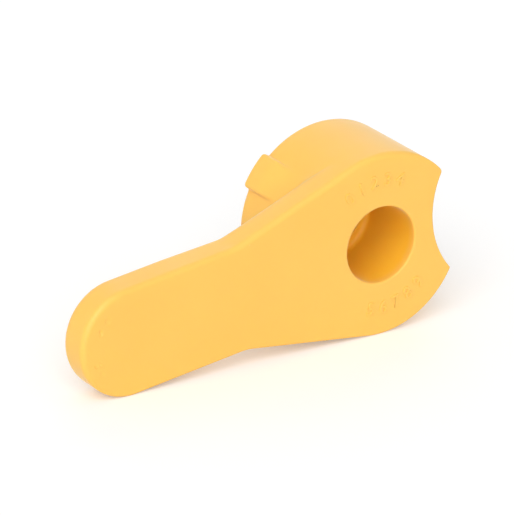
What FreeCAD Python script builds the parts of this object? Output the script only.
import FreeCAD, Part
import math
import os

# A moulded hand lever with its own pivot cartridge, in millimetres.
#
# The pivot axis runs along Y, through the origin. The front face of the hub and the arm
# is the plane y = 0 and looks towards -Y; the hub reaches back to y = hub_depth.
# Every piece is drawn with the arm pointing straight along -X. At the end the lever is
# turned about the pivot axis by the few degrees that set it down on a level surface,
# on the rim of the hub and the tip of the arm.

# hub
hub_radius = 24.0
hub_depth = 27.0
hub_back_round = 1.6

# arm
arm_reach = 73.0
arm_end_radius = 14.0
arm_thickness = 9.5
arm_back_round = 2.8
neck_reach = 41.0
neck_blend = 30.0

# every edge of the front face
front_round = 0.5

# hollow opposite the arm, for a round post
post_radius = 24.15
post_distance = 40.0
upper_horn_round = 0.8
lower_horn_round = 0.4

# stop tab on the hub's rim, flush with its back, with a ramp towards the front
tab_height = 1.7
tab_from_angle = 125.0
tab_to_angle = 147.0
tab_ramp_front = 14.0
tab_ramp_back = 22.0
tab_back = hub_depth
tab_round = 0.9

# raised marks on the front face, above and below the well
mark_height = 0.3
mark_width = 0.7
mark_length = 3.4
mark_ring_radius = 17.0
mark_count = 5
mark_step_angle = 13.0
upper_marks_angle = 96.0
lower_marks_angle = -76.0

# well in front, and the bearing behind it
well_radius = 10.0
well_depth = 20.0
well_mouth_round = 0.4
bearing_hole_radius = 7.6

# recess in the hub's back for the cartridge's flange
recess_radius = 13.3
recess_floor = 25.0

# steel core inside the arm
core_thickness = 3.0
core_front = 3.2
core_width = 14.0
core_tip_reach = 78.0
core_eye_inner = 11.5
core_eye_outer = 17.5
core_eye_open_from = 6.0
core_hole_radius = 3.0
core_hole_first = 30.0
core_hole_pitch = 12.0
core_hole_count = 4

# pivot cartridge
sleeve_radius = 5.0
sleeve_bore_radius = 3.2
running_clearance = 0.05
flange_radius = 13.0
flange_thickness = 1.2
flange_proud = 0.3
flange_edge_round = 0.3
bush_front = 21.0
ring_thickness = 0.8
ring_outer_radius = 6.9
ring_groove_depth = 0.4
ring_gap_angle = 40.0
washer_inner_radius = 5.3
washer_outer_radius = 8.6
washer_thickness = 0.5
disc_spring_sheet = 0.35

# stop pin in its curved slot
swing_angle = 60.0
pin_radius = 1.2
pin_ring_radius = 10.6
pin_start_angle = 150.0
slot_side_clearance = 0.3
slot_floor = 22.8
pin_tip_clearance = 0.4

flange_back = hub_depth + flange_proud
flange_front = flange_back - flange_thickness
stand_tilt = math.degrees(math.asin((hub_radius - arm_end_radius) / arm_reach))

FRONT_TO_BACK = FreeCAD.Vector(0, 1, 0)


def point(x, y, z):
    return FreeCAD.Vector(x, y, z)


def on_circle(radius, angle, y=0.0):
    """Point at an angle measured from +X towards +Z, about the pivot axis."""
    turn = math.radians(angle)
    return point(radius * math.cos(turn), y, radius * math.sin(turn))


def disc(radius, front, back, x=0.0, z=0.0):
    """Round bar along Y."""
    return Part.makeCylinder(radius, back - front, point(x, front, z), FRONT_TO_BACK)


def tube(inner, outer, front, back):
    return disc(outer, front, back).cut(disc(inner, front, back))


def face_at(shape, y):
    """The largest flat face of a shape that lies in the plane at y."""
    flat = [
        face
        for face in shape.Faces
        if abs(face.BoundBox.YMin - y) < 1e-6 and abs(face.BoundBox.YMax - y) < 1e-6
    ]
    return max(flat, key=lambda face: face.Area)


def sector(inner, outer, from_angle, to_angle, front, back):
    """Part of a thick ring about the pivot axis, between two angles."""
    middle = (from_angle + to_angle) / 2
    outline = [
        Part.Arc(on_circle(outer, from_angle, front), on_circle(outer, middle, front),
                 on_circle(outer, to_angle, front)).toShape(),
        Part.makeLine(on_circle(outer, to_angle, front), on_circle(inner, to_angle, front)),
        Part.Arc(on_circle(inner, to_angle, front), on_circle(inner, middle, front),
                 on_circle(inner, from_angle, front)).toShape(),
        Part.makeLine(on_circle(inner, from_angle, front), on_circle(outer, from_angle, front)),
    ]
    return Part.Face(Part.Wire(outline)).extrude(FRONT_TO_BACK * (back - front))


def lever_outline():
    """Hub circle, straight flanks that run tangent into the neck, and a round arm end."""
    neck_distance = math.hypot(neck_reach, arm_end_radius)
    neck_angle = 180.0 - math.degrees(math.atan2(arm_end_radius, neck_reach))
    flank_angle = neck_angle - math.degrees(math.acos(hub_radius / neck_distance))
    flank = on_circle(hub_radius, flank_angle)
    slope = 90.0 - flank_angle
    flank_direction = point(-math.cos(math.radians(slope)), 0, math.sin(math.radians(slope)))
    blend_length = neck_blend * math.tan(math.radians(abs(slope)) / 2)
    neck = point(-neck_reach, 0, arm_end_radius)
    blend_start = neck - flank_direction * blend_length
    blend_end = neck - point(blend_length, 0, 0)
    blend_centre = blend_end + point(0, 0, neck_blend)
    half_turn = math.radians(abs(slope)) / 2
    blend_middle = blend_centre + point(math.sin(half_turn), 0, -math.cos(half_turn)) * neck_blend
    arm_end = point(-arm_reach, 0, arm_end_radius)

    def below(p):
        return point(p.x, p.y, -p.z)

    edges = [
        Part.Arc(below(flank), point(hub_radius, 0, 0), flank).toShape(),
        Part.makeLine(flank, blend_start),
        Part.Arc(blend_start, blend_middle, blend_end).toShape(),
        Part.makeLine(blend_end, arm_end),
        Part.Arc(arm_end, point(-arm_reach - arm_end_radius, 0, 0), below(arm_end)).toShape(),
        Part.makeLine(below(arm_end), below(blend_end)),
        Part.Arc(below(blend_end), below(blend_middle), below(blend_start)).toShape(),
        Part.makeLine(below(blend_start), below(flank)),
    ]
    return Part.Wire(edges)


def arm_plate():
    """The flat front part, with the long round along its back edge."""
    plate = Part.Face(lever_outline()).extrude(FRONT_TO_BACK * arm_thickness)
    back_edges = face_at(plate, arm_thickness).OuterWire.Edges
    return plate.makeFillet(arm_back_round, back_edges)


def stop_tab():
    """Pad on the rim that ramps up from the front, rounded along its ends and its back."""
    inner = hub_radius - 2.0
    outer = hub_radius + tab_height
    profile = Part.makePolygon([
        on_circle(inner, tab_to_angle, tab_ramp_front),
        on_circle(hub_radius - 0.1, tab_to_angle, tab_ramp_front),
        on_circle(outer, tab_to_angle, tab_ramp_back),
        on_circle(outer, tab_to_angle, tab_back),
        on_circle(inner, tab_to_angle, tab_back),
        on_circle(inner, tab_to_angle, tab_ramp_front),
    ])
    width = tab_to_angle - tab_from_angle
    pad = Part.Face(profile).revolve(point(0, 0, 0), FRONT_TO_BACK, width)
    outer_edges = []
    for edge in pad.Edges:
        middle = edge.valueAt((edge.FirstParameter + edge.LastParameter) / 2)
        across_ramp = abs(middle.y - tab_ramp_front) < 0.01 or abs(middle.y - tab_ramp_back) < 0.01
        if math.hypot(middle.x, middle.z) > hub_radius and not across_ramp:
            outer_edges.append(edge)
    return pad.makeFillet(tab_round, outer_edges)


def horn_edges(shape, upper):
    """The straight edge along Y where the post hollow meets the hub's rim."""
    found = []
    for edge in shape.Edges:
        box = edge.BoundBox
        straight_back = box.XLength < 0.01 and box.ZLength < 0.01 and box.YLength > 1.0
        on_rim = math.hypot(edge.CenterOfMass.x, edge.CenterOfMass.z) > hub_radius - 0.1
        if straight_back and on_rim and box.XMin > 0 and (box.ZMin > 0) == upper:
            found.append(edge)
    return found


def lever_blank():
    """Hub and arm in one, hollowed for the post, with every outside edge rounded."""
    blank = arm_plate().fuse(disc(hub_radius, 0, hub_depth)).removeSplitter()
    blank = blank.cut(disc(post_radius, -1, hub_depth + 1, x=post_distance)).removeSplitter()
    blank = blank.makeFillet(upper_horn_round, horn_edges(blank, upper=True))
    blank = blank.makeFillet(lower_horn_round, horn_edges(blank, upper=False))
    blank = blank.makeFillet(hub_back_round, face_at(blank, hub_depth).OuterWire.Edges)
    return blank.makeFillet(front_round, face_at(blank, 0).OuterWire.Edges)


def raised_marks():
    """Short bars that point at the pivot, in one row above the well and one below."""
    marks = []
    for row_angle in (upper_marks_angle, lower_marks_angle):
        for index in range(mark_count):
            angle = row_angle + (index - (mark_count - 1) / 2) * mark_step_angle
            bar = Part.makeBox(mark_length, mark_height + 0.5, mark_width,
                               point(mark_ring_radius - mark_length / 2, -mark_height,
                                     -mark_width / 2))
            bar.rotate(point(0, 0, 0), FRONT_TO_BACK, -angle)
            marks.append(bar)
    return marks


def stop_slot():
    """Curved slot with round ends, in which the stop pin swings."""
    reach = pin_radius + slot_side_clearance
    end_angle = pin_start_angle + swing_angle
    slot = sector(pin_ring_radius - reach, pin_ring_radius + reach,
                  pin_start_angle, end_angle, slot_floor, recess_floor)
    for angle in (pin_start_angle, end_angle):
        end = on_circle(pin_ring_radius, angle)
        slot = slot.fuse(disc(reach, slot_floor, recess_floor, x=end.x, z=end.z))
    return slot.removeSplitter()


def arm_core():
    """Stamped steel plate: a strip down the arm and an open eye round the well."""
    back = core_front + core_thickness
    tip_centre = core_tip_reach - core_width / 2
    strip = Part.makeBox(tip_centre - core_eye_inner, core_thickness, core_width,
                         point(-tip_centre, core_front, -core_width / 2))
    plate = strip.fuse(disc(core_width / 2, core_front, back, x=-tip_centre))
    plate = plate.fuse(disc(core_eye_outer, core_front, back))
    plate = plate.cut(disc(core_eye_inner, core_front, back))
    open_side = Part.makeBox(hub_radius, core_thickness, 2 * hub_radius,
                             point(core_eye_open_from, core_front, -hub_radius))
    plate = plate.cut(open_side)
    for index in range(core_hole_count):
        x = -(core_hole_first + index * core_hole_pitch)
        plate = plate.cut(disc(core_hole_radius, core_front, back, x=x))
    return plate.removeSplitter()


def lever_moulding():
    body = lever_blank().fuse([stop_tab()] + raised_marks())
    well = disc(well_radius, 0, well_depth)
    body = body.cut(well)
    mouth = [
        edge
        for edge in body.Edges
        if abs(edge.BoundBox.YMax) < 1e-6
        and edge.BoundBox.YLength < 1e-6
        and abs(edge.BoundBox.XLength - 2 * well_radius) < 1e-3
    ]
    body = body.makeFillet(well_mouth_round, mouth)
    body = body.cut(disc(bearing_hole_radius, well_depth, hub_depth))
    body = body.cut(disc(recess_radius, recess_floor, hub_depth))
    body = body.cut(stop_slot())
    return body.cut(arm_core())


def pivot_bush():
    """Plain bearing pressed into the hub behind the well."""
    return tube(sleeve_radius + running_clearance, bearing_hole_radius, bush_front, recess_floor)


def pivot_sleeve():
    """Flanged steel sleeve that the fixing bolt clamps to the machine."""
    flange = disc(flange_radius, flange_front, flange_back)
    rim = [edge for edge in flange.Edges if edge.BoundBox.YLength < 1e-6]
    flange = flange.makeFillet(flange_edge_round, rim)
    sleeve = disc(sleeve_radius, well_depth, flange_front).fuse(flange)
    groove = tube(sleeve_radius - ring_groove_depth, sleeve_radius + 1,
                  bush_front - ring_thickness, bush_front)
    sleeve = sleeve.cut(groove)
    sleeve = sleeve.cut(disc(sleeve_bore_radius, well_depth, flange_back))
    pin_hole = on_circle(pin_ring_radius, pin_start_angle)
    sleeve = sleeve.cut(disc(pin_radius, flange_front, flange_back, x=pin_hole.x, z=pin_hole.z))
    return sleeve.removeSplitter()


def retaining_ring():
    """Open spring ring in the sleeve's groove, which keeps the cartridge in the lever."""
    ring = tube(sleeve_radius - ring_groove_depth, ring_outer_radius,
                bush_front - ring_thickness, bush_front)
    gap = sector(sleeve_radius - 1, ring_outer_radius + 1, 90 - ring_gap_angle / 2,
                 90 + ring_gap_angle / 2, bush_front - ring_thickness, bush_front)
    return ring.cut(gap)


def thrust_washer():
    return tube(washer_inner_radius, washer_outer_radius, recess_floor,
                recess_floor + washer_thickness)


def disc_spring():
    """Coned spring washer, which presses the flange back and makes the pivot stiff."""
    front = recess_floor + washer_thickness
    profile = Part.makePolygon([
        point(washer_outer_radius, front, 0),
        point(washer_outer_radius, front + disc_spring_sheet, 0),
        point(washer_inner_radius, flange_front, 0),
        point(washer_inner_radius, flange_front - disc_spring_sheet, 0),
        point(washer_outer_radius, front, 0),
    ])
    return Part.Face(profile).revolve(point(0, 0, 0), FRONT_TO_BACK, 360)


def stop_pin():
    centre = on_circle(pin_ring_radius, pin_start_angle)
    return disc(pin_radius, slot_floor + pin_tip_clearance, flange_back, x=centre.x, z=centre.z)


def write(name, shape):
    """Set the piece down at the lever's resting tilt and save it."""
    shape = shape.copy()
    shape.rotate(point(0, 0, 0), FRONT_TO_BACK, -stand_tilt)
    shape.exportStep("parts/" + name + ".step")
    box = shape.BoundBox
    print(f"{name:16s} solids {len(shape.Solids)} valid {shape.isValid()}"
          f" volume {shape.Volume:9.1f} mm3"
          f"  x {box.XMin:7.2f} {box.XMax:7.2f}"
          f"  y {box.YMin:6.2f} {box.YMax:6.2f}"
          f"  z {box.ZMin:7.2f} {box.ZMax:7.2f}")


PIECES = {
    "lever_moulding": lever_moulding,
    "arm_core": arm_core,
    "pivot_bush": pivot_bush,
    "pivot_sleeve": pivot_sleeve,
    "retaining_ring": retaining_ring,
    "thrust_washer": thrust_washer,
    "disc_spring": disc_spring,
    "stop_pin": stop_pin,
}

os.makedirs("parts", exist_ok=True)
print(f"resting tilt {stand_tilt:.3f} degrees")
for piece_name, make_piece in PIECES.items():
    write(piece_name, make_piece())
